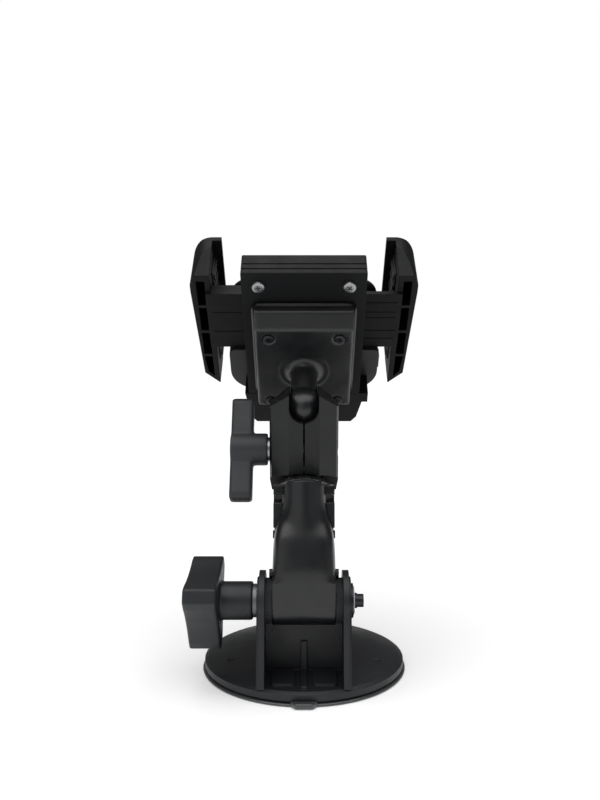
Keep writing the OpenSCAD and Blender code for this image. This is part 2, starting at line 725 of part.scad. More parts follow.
// Two stacked plates carry the cradle, with grooves at the joints between them
module adapter_plate() color(dark) holder_frame() difference() {
    union() {
        layer(house_w1, rear_w1 - groove) span(block_w, block_low, block_high, block_r);
        layer(house_w1, rear_w1) span(block_w - 2 * groove, block_low + groove, block_high - groove,
            block_r);
    }
    screw_places() cylinder(r = screw_d / 2, h = 3 * house_t, center = true);
    block_screw_places() cylinder(r = screw_d / 2, h = 3 * house_t, center = true);
}
module block_screw_places() for (x = [-1, 1]) translate([x * block_screw_x / 2, block_screw_v,
    -house_w1]) children();
module block_screws() color(steel) holder_frame() block_screw_places()
    pan_screw(block_head_d / 2, block_head_t, screw_d / 2, rear_plate_t + front_plate_t / 2);
module channel_plate() color(dark) holder_frame() difference() {
    union() {
        layer(rear_w1, rear_w1 + rear_plate_t - groove) span(block_w, block_low, block_high, block_r);
        layer(rear_w1, block_w1) span(block_w - 2 * groove, block_low + groove, block_high - groove,
            block_r);
        layer(rear_w1 + rear_plate_t, block_w1) span(block_w, block_low, block_high, block_r);
    }
    translate([-foot_rail_w / 2 - slide_gap, block_low - over, -block_w1 - over])
        cube([foot_rail_w + 2 * slide_gap, foot_rail_len + foot_travel, foot_t + slide_gap + over]);
    block_screw_places() cylinder(r = screw_d / 2, h = 2 * (rear_plate_t + front_plate_t), center = true);
    screw_places() cylinder(r = screw_d / 2, h = 2 * (house_t + rear_plate_t), center = true);
}

// The cradle's outline: a waist behind the jaw arms and two round lobes below them
module cradle_outline(inset) {
    span(cradle_waist - 2 * inset, cradle_low + inset, cradle_high - inset, cradle_r);
    low = cradle_low + inset;
    high = lobe_high - inset;
    half = cradle_w / 2 - inset;
    r = lobe_r - inset;
    translate([-half, low + r]) square([2 * half, high - low - r - lobe_top_r]);
    translate([-half + r, low]) square([2 * half - 2 * r, high - low]);
    for (x = [-1, 1]) {
        translate([x * (half - r), low + r]) circle(r);
        translate([x * (half - lobe_top_r), high - lobe_top_r]) circle(lobe_top_r);
        translate([x * (half - lobe_top_r - r / 2) - r / 2, high - lobe_top_r]) square([r, lobe_top_r]);
    }
}
// The cradle's back shell: a tray with side windows for the rack arms and a stop for the button's spring
module cradle_back() color(dark) holder_frame() {
    difference() {
        layer(block_w1, rack_w1 + slide_gap) cradle_outline(0);
        translate([0, pinion_v]) layer(block_w1 + shell_t, cradle_w1 + over)
            square([cradle_w + 2 * over, arm_high - arm_low + 2 * slide_gap], center = true);
        layer(block_w1 + shell_t, cradle_w1 + over) difference() {
            cradle_outline(cradle_wall);
            translate([-cradle_w, arm_low - 2 * cradle_wall]) square([2 * cradle_w, 2 * cradle_wall]);
        }
        translate([cradle_w / 2 - cradle_wall - over, button_v - button_w / 2 - slide_gap,
            -block_w1 - shell_t - button_t - 2 * slide_gap])
            cube([cradle_wall + 2 * over, button_w + 2 * slide_gap, button_t + 2 * slide_gap]);
    }
    layer(block_w1, rack_w1 + slide_gap)
        translate([button_x0 - gap - button_travel - button_spring_len - stop_t, button_v - button_w / 2])
        square([stop_t, button_w]);
}
// The front cover closes the shell and carries the pinion's post
module cradle_front() color(dark) holder_frame() {
    layer(rack_w1 + slide_gap, cradle_w1) cradle_outline(0);
    translate([0, pinion_v, -rack_w1 - slide_gap - over]) cylinder(d = post_d, h = rack_t + over);
}
module cradle_cushion() color(rubber) holder_frame() difference() {
    layer(cradle_w1, phone_back) cradle_outline(cradle_wall);
    for (v = [-cushion_lines : cushion_lines])
        translate([0, (cradle_high + cradle_low) / 2 + v * cushion_pitch, -phone_back])
        cube([cradle_waist - 2 * lobe_r, cushion_pitch / 4, cushion_t], center = true);
}

// One jaw, built on the right: rack arm, hollow side wall with rungs, and front lip
module jaw_section() {
    translate([jaw_in, jaw_w0]) square([jaw_t, lip_w0 - jaw_w0 - lip_round]);
    translate([jaw_in, lip_w0 - jaw_t + jaw_lip_t]) square([jaw_t / 2, jaw_t]);
    translate([jaw_out - lip_round, lip_w0 + jaw_lip_t - lip_round]) circle(lip_round);
    translate([jaw_in + jaw_t / 2, lip_w0 - jaw_t]) square([jaw_t / 2, jaw_t - lip_round + jaw_lip_t]);
    translate([jaw_in - lip_in, lip_w0]) square([lip_in + jaw_t / 2, jaw_lip_t]);
}
module jaw_face() {
    top = jaw_high + jaw_rise;
    polygon([[jaw_in - lip_in - over, jaw_low + lip_in], [jaw_in, jaw_low], [jaw_out - jaw_toe,
        jaw_low + jaw_heel],
        [jaw_out, jaw_high - crown_r], [jaw_out, top - crown_r], [jaw_out - crown_r, top],
        [jaw_in - lip_in - over, top]]);
    translate([jaw_out - crown_r, top - crown_r]) circle(crown_r);
}
module jaw_edge() polygon([[-jaw_w0 + over, jaw_low], [-jaw_w0 + over, jaw_high], [-jaw_w0 - jaw_t,
    jaw_high + jaw_rise / 2],
    [-lip_w0 + lip_round, jaw_high + jaw_rise], [-lip_w0 - jaw_lip_t - over, jaw_high + jaw_rise],
    [-lip_w0 - jaw_lip_t - over, jaw_low + jaw_t], [-lip_w0 + lip_round, jaw_low]]);
module jaw(rack_up) difference() {
    union() {
        intersection() {
            translate([0, jaw_high + jaw_rise, 0]) rotate([90, 0, 0]) mirror([0, 1, 0])
                linear_extrude(jaw_v + jaw_rise) jaw_section();
            layer(jaw_w0 - over, lip_w0 + jaw_lip_t + over) jaw_face();
            rotate([0, -90, 0]) translate([0, 0, -jaw_out - over]) linear_extrude(jaw_out + over)
                jaw_edge();
        }
        layer(arm_w0, arm_w1) translate([arm_inner, arm_low]) square([jaw_in - arm_inner + rail_in,
            arm_high - arm_low]);
        layer(arm_w0, rack_w1) translate([arm_inner, rack_up ? arm_high - rack_v : arm_low])
            square([jaw_in - arm_inner + rail_in, rack_v]);
        layer(arm_w1, rack_w1) rack_outline(rack_up);
    }
    for (i = [0 : pockets - 1]) layer(jaw_w0 - over, jaw_w0 + pocket_depth)
        polygon([[jaw_in + rail_in, pocket_low + i * pocket_pitch],
            [jaw_out - rail_out - (i == 0 ? jaw_toe : jaw_toe / 2),
                pocket_low + i * pocket_pitch + (i == 0 ? jaw_heel / 2 : 0)],
            [jaw_out - rail_out - jaw_toe / 2, pocket_low + (i + 1) * pocket_pitch - rung],
            [jaw_in + rail_in, pocket_low + (i + 1) * pocket_pitch - rung]]);
    for (v = rack_up ? rib_lines_left : rib_lines_right) layer(arm_w0 - over, arm_w0 + gap)
        translate([cradle_waist / 2, v - rib_line_w / 2]) square([jaw_in - cradle_waist / 2, rib_line_w]);
}
module rack_outline(rack_up) {
    s = rack_up ? 1 : -1;
    back = (arm_high - arm_low) / 2;
    pitch = PI * teeth_m;
    translate([0, pinion_v]) {
        translate([-rack_reach, s > 0 ? rack_edge : -back]) square([rack_reach + arm_inner + over,
            back - rack_edge]);
        for (i = [-floor(rack_reach / pitch - tooth_root_share) : floor(arm_inner / pitch - tooth_root_share)])
            translate([pitch * i, s * rack_edge])
                polygon([[-pitch * tooth_root_share, s * over / 4],
                    [-pitch * tooth_tip_share, -s * (tooth_in + tooth_out - gap / 2)],
                    [pitch * tooth_tip_share, -s * (tooth_in + tooth_out - gap / 2)],
                    [pitch * tooth_root_share, s * over / 4]]);
    }
}
module right_jaw() color(dark) holder_frame() jaw(false);
module left_jaw() color(dark) holder_frame() mirror([1, 0, 0]) jaw(true);
module grip() layer(phone_back - cushion_t, lip_w0 - gap)
    translate([jaw_in - grip_t, jaw_low + jaw_t]) square([grip_t, jaw_v - jaw_t - crown_r / 2]);
module right_grip() color(rubber) holder_frame() grip();
module left_grip() color(rubber) holder_frame() mirror([1, 0, 0]) grip();

// The pinion turns on the cover's post and drives both racks
module pinion() color(black) holder_frame() translate([0, pinion_v, -rack_w1])
    linear_extrude(rack_t - slide_gap) difference() {
    union() {
        circle(pinion_r - tooth_in);
        for (i = [0 : pinion_teeth - 1]) rotate(i * 360 / pinion_teeth)
            polygon([[0, -teeth_m * pinion_root_share], [pinion_r - tooth_in, -teeth_m * pinion_root_share],
                [pinion_r + tooth_out, -teeth_m * pinion_tip_share], [pinion_r + tooth_out,
                    teeth_m * pinion_tip_share],
                [pinion_r - tooth_in, teeth_m * pinion_root_share], [0, teeth_m * pinion_root_share]]);
    }
    circle(d = post_d + 2 * run);
}

// The release button slides in the shell's right side against its spring
module button_frame() holder_frame() translate([0, button_v, 0]) children();
module release_button() color(black) button_frame() {
    layer(button_w0, button_w0 + button_t) translate([button_x0, -button_w / 2])
        square([button_in + cradle_wall + button_out, button_w]);
    layer(button_w0, button_w0 + button_t) translate([button_x0, -button_w / 2 - button_flange])
        square([button_in / 2, button_w + 2 * button_flange]);
}
// The spring is drawn as short as it is with the button pressed home
module button_spring() color(steel) button_frame() translate([0, 0, -button_w0 - button_t / 2])
    difference() {
    rod_x(button_spring_r, button_x0 - gap - button_travel - button_spring_len,
        button_x0 - gap - button_travel);
    rod_x(button_spring_r - button_spring_wire, 0, cradle_w);
}

// The foot slides in the channel plate and holds up the phone's lower edge
module bottom_foot() color(dark) holder_frame() {
    layer(block_w1 - foot_t, block_w1 - slide_gap) translate([-foot_rail_w / 2, block_low - over])
        square([foot_rail_w, foot_rail_len]);
    layer(house_w1, block_w1 - slide_gap) polygon([[-foot_w / 2, block_low - gap], [foot_w / 2,
        block_low - gap],
        [foot_w / 2 + foot_tab_out, block_low - gap], [foot_w / 2 + foot_tab_out,
            block_low - gap - foot_tab_v],
        [foot_w / 2 - gap, block_low - gap - foot_tab_v], [foot_w / 2 - foot_taper,
            foot_low + foot_shelf / 2],
        [foot_w / 2 - 2 * foot_taper, foot_low], [-foot_w / 2 + 2 * foot_taper, foot_low],
        [-foot_w / 2 + foot_taper, foot_low + foot_shelf / 2]]);
    layer(house_w1, lip_w0 + jaw_lip_t) translate([-foot_in, foot_low]) square([2 * foot_in, foot_shelf]);
    layer(lip_w0, lip_w0 + jaw_lip_t) translate([-foot_in, foot_low]) square([2 * foot_in,
        foot_shelf + foot_lip_v]);
}
module foot_pad() color(rubber) holder_frame() layer(phone_back - cushion_t, lip_w0 - gap)
    translate([-foot_in + gap, foot_low + foot_shelf]) square([2 * foot_in - 2 * gap, grip_t]);

suction_cup();
base_cover();
pivot_nut();
pivot_washer();
cup_stem();
lever_pin();
cam_lever();
gooseneck_arm();
cross_pin();
friction_washers();
base_knob();
pivot_bolt();
knob_washer();
clamp_half_left();
clamp_half_right();
clamp_bolt();
clamp_spring();
clamp_washer();
t_knob();
t_knob_nut();
ball_plate();
plate_screws();
adapter_plate();
channel_plate();
block_screws();
cradle_back();
cradle_front();
cradle_cushion();
left_jaw();
left_grip();
right_jaw();
right_grip();
pinion();
release_button();
button_spring();
bottom_foot();
foot_pad();
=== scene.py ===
# %% [markdown]
# A phone holder on a suction cup, seen from behind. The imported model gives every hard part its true
# shape and place. This script adds what a maker would notice next: the mouldings' grain and soft
# edges, the arm's smooth skin, the rubber parts with their ribs, real springs and cross-head screws, the
# light and the view. The frame is loaded first, because each piece below takes its place from it.

# %% Load the frame
import json
import math

import bpy
from mathutils import Matrix, Vector


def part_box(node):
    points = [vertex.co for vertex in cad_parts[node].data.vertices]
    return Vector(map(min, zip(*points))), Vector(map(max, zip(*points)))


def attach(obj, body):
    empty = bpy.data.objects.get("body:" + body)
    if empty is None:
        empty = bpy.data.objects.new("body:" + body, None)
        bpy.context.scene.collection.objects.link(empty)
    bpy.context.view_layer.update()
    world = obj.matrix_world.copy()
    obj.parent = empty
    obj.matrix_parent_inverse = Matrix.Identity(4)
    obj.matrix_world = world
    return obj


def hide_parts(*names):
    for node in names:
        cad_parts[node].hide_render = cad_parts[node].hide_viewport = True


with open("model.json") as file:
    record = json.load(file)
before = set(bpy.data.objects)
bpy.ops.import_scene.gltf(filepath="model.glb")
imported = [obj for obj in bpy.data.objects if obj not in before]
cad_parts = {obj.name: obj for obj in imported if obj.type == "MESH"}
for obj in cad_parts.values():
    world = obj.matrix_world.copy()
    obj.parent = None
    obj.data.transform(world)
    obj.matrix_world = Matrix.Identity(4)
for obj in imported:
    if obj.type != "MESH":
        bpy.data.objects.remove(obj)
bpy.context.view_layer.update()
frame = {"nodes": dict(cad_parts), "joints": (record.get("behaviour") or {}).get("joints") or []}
MM = 0.001

# %% [markdown]
# Every added piece is modelled upright or in a leaning frame of its own, and then its object is put back
# to the origin with its place kept in the mesh. These few helpers do that, and they start by clearing
# the selection, because an operator acts on all that is selected.

# %% Helpers for modelling by hand
def clear():
    """Leaves edit mode and selects nothing."""
    if bpy.context.object and bpy.context.object.mode != "OBJECT":
        bpy.ops.object.mode_set(mode="OBJECT")
    bpy.ops.object.select_all(action="DESELECT")


def only(piece):
    """Selects one piece alone and makes it the active one."""
    clear()
    piece.select_set(True)
    bpy.context.view_layer.objects.active = piece


def pick_faces(piece, wanted):
    """Selects the faces whose centre and normal pass the test, and goes into edit mode."""
    only(piece)
    bpy.ops.object.mode_set(mode="EDIT")
    bpy.ops.mesh.select_mode(type="FACE")
    bpy.ops.mesh.select_all(action="DESELECT")
    bpy.ops.object.mode_set(mode="OBJECT")
    for face in piece.data.polygons:
        face.select = bool(wanted(face.center, face.normal))
    bpy.ops.object.mode_set(mode="EDIT")


def out_of_edit():
    bpy.ops.object.mode_set(mode="OBJECT")


def use_modifier(piece, kind, **settings):
    """Adds a modifier and applies it at once."""
    only(piece)
    modifier = piece.modifiers.new(kind.title(), kind)
    for name, value in settings.items():
        setattr(modifier, name, value)
    bpy.ops.object.modifier_apply(modifier=modifier.name)


def round_edges(piece, width, segments=2, angle=35):
    """Bevels every edge that turns by more than the angle."""
    use_modifier(piece, "BEVEL", width=width, segments=segments, limit_method="ANGLE",
                 angle_limit=math.radians(angle))


def settle(piece, matrix=None):
    """Puts the object back to the origin, with its place in its mesh."""
    bpy.context.view_layer.update()
    if matrix is not None:
        piece.matrix_world = matrix @ piece.matrix_world
    only(piece)
    bpy.ops.object.transform_apply(location=True, rotation=True, scale=True)
    bpy.ops.object.shade_smooth_by_angle(angle=math.radians(40))
    return piece


def row_of(piece, count, step, matrix=None):
    """The piece and its copies, a step apart. Each has its own mesh and is settled in its place."""
    row = [piece]
    for number in range(1, count):
        only(piece)
        bpy.ops.object.duplicate()
        bpy.ops.transform.translate(value=step * number)
        row.append(bpy.context.object)
    return [settle(one, matrix) for one in row]


def merged_copy(node, name):
    """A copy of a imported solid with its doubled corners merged."""
    piece = bpy.data.objects.new(name, frame["nodes"][node].data.copy())
    bpy.context.collection.objects.link(piece)
    only(piece)
    bpy.ops.object.mode_set(mode="EDIT")
    bpy.ops.mesh.select_all(action="SELECT")
    bpy.ops.mesh.remove_doubles(threshold=0.001 * MM)
    out_of_edit()
    return piece


def dress(piece, name, body, finish):
    """Names a finished piece, gives it its material and puts it on its body."""
    piece.name = name
    piece.data.name = name
    piece.data.materials.clear()
    piece.data.materials.append(finish)
    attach(piece, body)
    print(name, "has", len(piece.data.polygons), "faces and rides on", body)
    return piece


# %% [markdown]
# The holder leans back at a steady angle. Its own frame has X across, Y up the phone and Z out of its
# back. The joint that tilts the holder says where the upper ball is, and the direction in which the
# foot slides says how far the holder leans, so both are read from the frame.

# %% Find the leaning frames
JOINTS = {joint["name"]: joint for joint in frame["joints"]}
upper_ball = Vector(JOINTS["holder_tilt"]["pos_m"])
lower_ball = Vector(JOINTS["clamp_tilt"]["pos_m"])
pivot = Vector(JOINTS["arm_pivot"]["pos_m"])
clamp_middle = Vector(JOINTS["clamp_knob_turn"]["pos_m"])
up_the_phone = -Vector(JOINTS["foot_slide"]["axis"]).normalized()
across = Vector((1, 0, 0))
out_of_back = across.cross(up_the_phone)
HOLDER = Matrix((across, up_the_phone, out_of_back)).transposed().to_4x4()
HOLDER.translation = upper_ball
TO_HOLDER = HOLDER.inverted()
print("the holder leans", round(math.degrees(math.atan2(-up_the_phone.y, up_the_phone.z)), 1), "degrees")


def own_box(node, to_frame):
    """A node's lowest and highest corners, measured in a leaning frame."""
    mesh = frame["nodes"][node].data
    points = [to_frame @ vertex.co for vertex in mesh.vertices]
    low = Vector([min(p[k] for p in points) for k in range(3)])
    high = Vector([max(p[k] for p in points) for k in range(3)])
    return low, high


# %% [markdown]
# Moulded black plastic is never one flat black. The tool's spark-eroded grain breaks the highlights
# up, the surface is a little more polished where hands and other parts rub it, and each edge has a
# small radius that catches a thin line of light. Grain is a fine bump, rubbing is a slow change of
# roughness, and the Bevel node rounds the edges in the shading alone, so the solids stay true.

# %% Finishes
def new_material(name):
    """A new material, with its nodes, its links and its main shader."""
    material = bpy.data.materials.new(name)
    material.use_nodes = True
    nodes = material.node_tree.nodes
    links = material.node_tree.links
    return material, nodes, links, nodes["Principled BSDF"]


def add(nodes, kind, **values):
    """A new shader node with its inputs or settings given by name."""
    node = nodes.new(kind)
    for name, value in values.items():
        if name in node.inputs:
            node.inputs[name].default_value = value
        else:
            setattr(node, name, value)
    return node


def noise(nodes, links, scale, detail=3.0, roughness=0.55):
    """Noise that is fixed to the object."""
    coordinates = add(nodes, "ShaderNodeTexCoord")
    texture = add(nodes, "ShaderNodeTexNoise", Scale=scale, Detail=detail, Roughness=roughness)
    links.new(coordinates.outputs["Object"], texture.inputs["Vector"])
    return texture


def spread(nodes, links, source, low, high, start=0.3, end=0.7):
    """Maps a texture's middle range onto low to high."""
    node = add(nodes, "ShaderNodeMapRange")
    links.new(source, node.inputs["Value"])
    for name, value in (("From Min", start), ("From Max", end), ("To Min", low), ("To Max", high)):
        node.inputs[name].default_value = value
    return node.outputs["Result"]


def grain_plastic(name, dark, light, rough_low, rough_high, grain, depth, edge, level):
    """Moulded plastic: slow colour drift, rubbed roughness, fine grain and soft edges."""
    material, nodes, links, shader = new_material(name)
    drift = noise(nodes, links, 45.0)
    ramp = add(nodes, "ShaderNodeValToRGB")
    ramp.color_ramp.elements[0].position = 0.35
    ramp.color_ramp.elements[0].color = (*dark, 1)
    ramp.color_ramp.elements[1].position = 0.75
    ramp.color_ramp.elements[1].color = (*light, 1)
    links.new(drift.outputs["Fac"], ramp.inputs["Fac"])
    links.new(ramp.outputs["Color"], shader.inputs["Base Color"])
    rubbed = noise(nodes, links, 120.0, 5.0)
    links.new(spread(nodes, links, rubbed.outputs["Fac"], rough_low, rough_high), shader.inputs["Roughness"])
    shader.inputs["Specular IOR Level"].default_value = level
    fine = noise(nodes, links, grain, 2.0, 0.6)
    soft = add(nodes, "ShaderNodeBevel", samples=4)
    soft.inputs["Radius"].default_value = edge
    bump = add(nodes, "ShaderNodeBump", Strength=depth, Distance=0.0001)
    links.new(fine.outputs["Fac"], bump.inputs["Height"])
    links.new(soft.outputs["Normal"], bump.inputs["Normal"])
    links.new(bump.outputs["Normal"], shader.inputs["Normal"])
    return material


def worn_metal(name, color, rough_low, rough_high, scratch, edge):
    """Plated or blackened steel: fine scratches in the roughness and a faint mottle in the colour."""
    material, nodes, links, shader = new_material(name)
    shader.inputs["Metallic"].default_value = 1.0
    mottle = noise(nodes, links, 260.0, 4.0)
    ramp = add(nodes, "ShaderNodeValToRGB")
    ramp.color_ramp.elements[0].color = (*[c * 0.72 for c in color], 1)
    ramp.color_ramp.elements[1].color = (*color, 1)
    links.new(mottle.outputs["Fac"], ramp.inputs["Fac"])
    links.new(ramp.outputs["Color"], shader.inputs["Base Color"])
    lines = noise(nodes, links, scratch, 6.0, 0.7)
    links.new(spread(nodes, links, lines.outputs["Fac"], rough_low, rough_high), shader.inputs["Roughness"])
    soft = add(nodes, "ShaderNodeBevel", samples=4)
    soft.inputs["Radius"].default_value = edge
    bump = add(nodes, "ShaderNodeBump", Strength=0.12, Distance=0.00005)
    links.new(lines.outputs["Fac"], bump.inputs["Height"])
    links.new(soft.outputs["Normal"], bump.inputs["Normal"])
    links.new(bump.outputs["Normal"], shader.inputs["Normal"])
    return material


shell = grain_plastic("moulded_shell", (0.0075, 0.0085, 0.0105), (0.011, 0.012, 0.0145),
    rough_low=0.40, rough_high=0.52, grain=2600.0, depth=0.30, edge=0.0005, level=0.42)
satin = grain_plastic("satin_arm", (0.0040, 0.0045, 0.0055), (0.0060, 0.0067, 0.0080),
    rough_low=0.25, rough_high=0.33, grain=3200.0, depth=0.10, edge=0.0009, level=0.50)
plate_satin = grain_plastic("plate_satin", (0.0028, 0.0033, 0.0041), (0.0042, 0.0048, 0.0058),
    rough_low=0.29, rough_high=0.39, grain=3200.0, depth=0.12, edge=0.0007, level=0.58)
clamp_shell = grain_plastic("clamp_shell", (0.0040, 0.0045, 0.0053), (0.0058, 0.0064, 0.0075),
    rough_low=0.34, rough_high=0.44, grain=2800.0, depth=0.20, edge=0.0006, level=0.32)
# A darker, duller copy of the shell for the parts under the phone: its darker colour is painted shade from
# the phone above.
shade_painted_shell = grain_plastic("shade_painted_shell", (0.0014, 0.0017, 0.0022), (0.0026, 0.0030, 0.0037),
    rough_low=0.46, rough_high=0.58, grain=2600.0, depth=0.30, edge=0.0005, level=0.17)
grip_plastic = grain_plastic("knob_plastic", (0.0165, 0.0178, 0.0205), (0.023, 0.0245, 0.0275),
    rough_low=0.44, rough_high=0.56, grain=2200.0, depth=0.35, edge=0.0007, level=0.45)
smooth = grain_plastic("smooth_lever", (0.006, 0.0065, 0.008), (0.009, 0.0095, 0.011),
    rough_low=0.30, rough_high=0.40, grain=3600.0, depth=0.12, edge=0.0004, level=0.45)
rubber = grain_plastic("soft_rubber", (0.006, 0.0062, 0.007), (0.010, 0.0104, 0.0115),
    rough_low=0.42, rough_high=0.60, grain=1800.0, depth=0.22, edge=0.0003, level=0.40)
# The pad's rubber is a lighter grey than the other blacks: that lightness is painted sheen for the glossy
# lip's highlight.
cup_rubber_painted_sheen = grain_plastic("cup_rubber_painted_sheen", (0.030, 0.0325, 0.035), (0.044, 0.0475, 0.051),
    rough_low=0.18, rough_high=0.28, grain=1500.0, depth=0.08, edge=0.0004, level=0.75)
fibre = grain_plastic("washer_fibre", (0.014, 0.0145, 0.016), (0.022, 0.0225, 0.024),
    rough_low=0.55, rough_high=0.70, grain=4200.0, depth=0.45, edge=0.0002, level=0.30)
zinc = worn_metal("zinc_steel", (0.36, 0.366, 0.38),
    rough_low=0.24, rough_high=0.40, scratch=900.0, edge=0.00015)
dull_zinc = worn_metal("dull_zinc", (0.20, 0.205, 0.215),
    rough_low=0.38, rough_high=0.55, scratch=700.0, edge=0.00015)
black_oxide = worn_metal("black_oxide", (0.045, 0.046, 0.05),
    rough_low=0.28, rough_high=0.45, scratch=1100.0, edge=0.00015)
print("made", len(bpy.data.materials), "materials")

# %% [markdown]
# These hard parts keep their imported solids, and each takes the finish that its real material has:
# grained shells, a polished lever, plated and blackened steel. The plates, the foot and the jaws under the
# phone take a darker copy of the shell, whose extra darkness is painted shade from the phone above them.
# The arm, the two knobs and the ball plate get softer copies further down, where their own finishes go on.

# %% Finish the hard parts
FINISHES = {
    "base_cover": shell, "cradle_back": shell, "cradle_front": shell,
    "clamp_half_left": clamp_shell, "clamp_half_right": clamp_shell,
    # The plates, the foot and the jaws take the shell darkened with painted shade.
    "adapter_plate": shade_painted_shell, "channel_plate": shade_painted_shell, "bottom_foot": shade_painted_shell,
    "left_jaw": shade_painted_shell, "right_jaw": shade_painted_shell,
    "cup_stem": smooth, "cam_lever": smooth, "pinion": smooth, "release_button": smooth,
    "friction_washers": fibre, "pivot_nut": zinc, "lever_pin": zinc, "clamp_washer": zinc, "t_knob_nut": zinc,
    "knob_washer": dull_zinc, "clamp_bolt": dull_zinc,
    "pivot_washer": black_oxide, "cross_pin": black_oxide, "pivot_bolt": black_oxide,
}
for node, finish in FINISHES.items():
    mesh = frame["nodes"][node].data
    mesh.materials.clear()
    mesh.materials.append(finish)
print("finished", len(FINISHES), "hard parts")

# %% [markdown]
# The suction pad is a soft disc with a thin lip, a bead round its edge and a ribbed tab to peel it off
# by. A spun profile gives the lip and the bead in one sweep, as a turned mould does. The tab is added
# after it.

# %% Soft suction pad
pad_low, pad_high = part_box("suction_cup")
pad_r = pad_high.x
cover_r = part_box("base_cover")[1].x
lip_top = 1.2 * MM
seat_r = cover_r - 2.2 * MM
seat_top = 3.6 * MM
middle_r = 16.4 * MM
pocket_r = 14.3 * MM
pocket_floor = 1.6 * MM
SPIN_STEPS = 128
# The bead round the edge: how far each point lies inside the rim, and how high, in mm
BEAD = ((1.4, 0.0), (0.4, 0.12), (0.08, 0.35), (0.0, 0.62), (0.12, 0.92), (0.45, 1.12))
pad_profile = [(0.0, 0.0)] + [(pad_r - inside * MM, height * MM) for inside, height in BEAD] + [
    (pad_r - 0.8 * MM, lip_top), (seat_r, lip_top), (seat_r, seat_top), (middle_r, seat_top),
    (middle_r, pad_high.z), (pocket_r, pad_high.z), (pocket_r, pocket_floor), (0.0, pocket_floor),
]
pad_mesh = bpy.data.meshes.new("suction_pad")
pad_edges = [(i, i + 1) for i in range(len(pad_profile) - 1)]
pad_mesh.from_pydata([(r, 0, z) for r, z in pad_profile], pad_edges, [])
pad = bpy.data.objects.new("suction_pad", pad_mesh)
bpy.context.collection.objects.link(pad)
only(pad)
bpy.ops.object.mode_set(mode="EDIT")
bpy.ops.mesh.select_all(action="SELECT")
bpy.ops.mesh.spin(steps=SPIN_STEPS, angle=2 * math.pi, center=(0, 0, 0), axis=(0, 0, 1))
bpy.ops.mesh.select_all(action="SELECT")
bpy.ops.mesh.remove_doubles(threshold=0.00001)
bpy.ops.mesh.normals_make_consistent(inside=False)
out_of_edit()
settle(pad)
# The pad, its tab and its ribs take the rubber lightened with painted sheen.
dress(pad, "suction_pad", "base", cup_rubber_painted_sheen)
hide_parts("suction_cup")
print("pad is", round(2 * pad_r / MM, 1), "mm across")

# %% [markdown]
# The release tab is a small tongue with raised ribs for a finger nail. The tongue is a block narrowed
# at its tip and rounded, and its ribs are one rounded bar, copied across it.

# %% Ribbed release tab
TAB_RIBS = 5
tab_width = 10.8 * MM
tab_tip_share = 0.6
tab_out = -pad_low.y - pad_r
tab_t = 2.4 * MM
tab_sink = 0.7 * MM
tab_lift = 0.05 * MM
rib_r = 0.42 * MM
tab_place = (0, -pad_r - tab_out / 2 + tab_sink / 2, tab_t / 2 + tab_lift)
bpy.ops.mesh.primitive_cube_add(size=1, location=tab_place)
tab = bpy.context.object
tab.scale = (tab_width, tab_out + tab_sink, tab_t)
bpy.ops.object.transform_apply(location=True, rotation=False, scale=True)
pick_faces(tab, lambda centre, normal: normal.y < -0.9)
bpy.ops.transform.resize(value=(tab_tip_share, 1, 0.8))
out_of_edit()
round_edges(tab, 0.5 * MM, 3)
settle(tab)
dress(tab, "release_tab", "base", cup_rubber_painted_sheen)
rib_step = tab_width * tab_tip_share / TAB_RIBS
rib_place = (-rib_step * (TAB_RIBS - 1) / 2, -pad_r - tab_out * 0.45, tab_t - 0.3 * MM)
bpy.ops.mesh.primitive_cylinder_add(radius=rib_r, depth=tab_out * 0.85, vertices=12, location=rib_place,
                                    rotation=(math.pi / 2, 0, 0))
rib = bpy.context.object
round_edges(rib, 0.2 * MM, 2)
for number, one in enumerate(row_of(rib, TAB_RIBS, Vector((rib_step, 0, 0)))):
    dress(one, "tab_rib_%d" % (number + 1), "base", cup_rubber_painted_sheen)

# %% [markdown]
# The arm is one long moulding. Its round neck swells into the block that holds the pivot, with no line
# between the two, and that swell catches the broadest highlight on the whole holder. Stacked solids
# would leave a ledge there. So simple masses are put where the real ones are, a remesh melts them into
# one skin, and smoothing draws the hollows out, as a pattern maker does with clay.

# %% Masses of the arm
ROUND = 96
NECK_LEAN = math.radians(12)
NECK_R = 9.5 * MM
NECK_LENGTH = 30 * MM
NECK_DROP = 10 * MM
SWELL_R = 11.9 * MM
SWELL_FLAT = 0.8
SWELL_TOP = 11 * MM
SWELL_LOW = 22 * MM
BLOCK_RISE = 14 * MM
# Each slope of the block's shoulders: its rise and how far it goes back, in mm, then how it narrows
SLOPES = ((12.5, 1.6, 0.97, 0.84), (6.0, 2.6, 0.86, 0.80))
ARCH_R = 24.5 * MM
HEAD_BACK = 17.2 * MM
HEAD_RISE = 2.4 * MM
arm_low, arm_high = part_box("gooseneck_arm")
arm_half = arm_high.x
knuckle_r = pivot.z - arm_low.z
neck_top = Vector((0, lower_ball.y - HEAD_BACK, lower_ball.z + HEAD_RISE))
NECK = Matrix.Translation(neck_top) @ Matrix.Rotation(-NECK_LEAN, 4, "X")
bpy.ops.mesh.primitive_cylinder_add(radius=knuckle_r, depth=2 * arm_half, vertices=ROUND, location=pivot,
                                    rotation=(0, math.pi / 2, 0))
knuckle = settle(bpy.context.object)
bpy.ops.mesh.primitive_cube_add(size=1, location=pivot + Vector((0, 0, BLOCK_RISE / 2)))
block = bpy.context.object
block.scale = (2 * arm_half, 2 * knuckle_r, BLOCK_RISE)
settle(block)
pick_faces(block, lambda centre, normal: normal.z > 0.9)
top = pivot + Vector((0, 0, BLOCK_RISE))
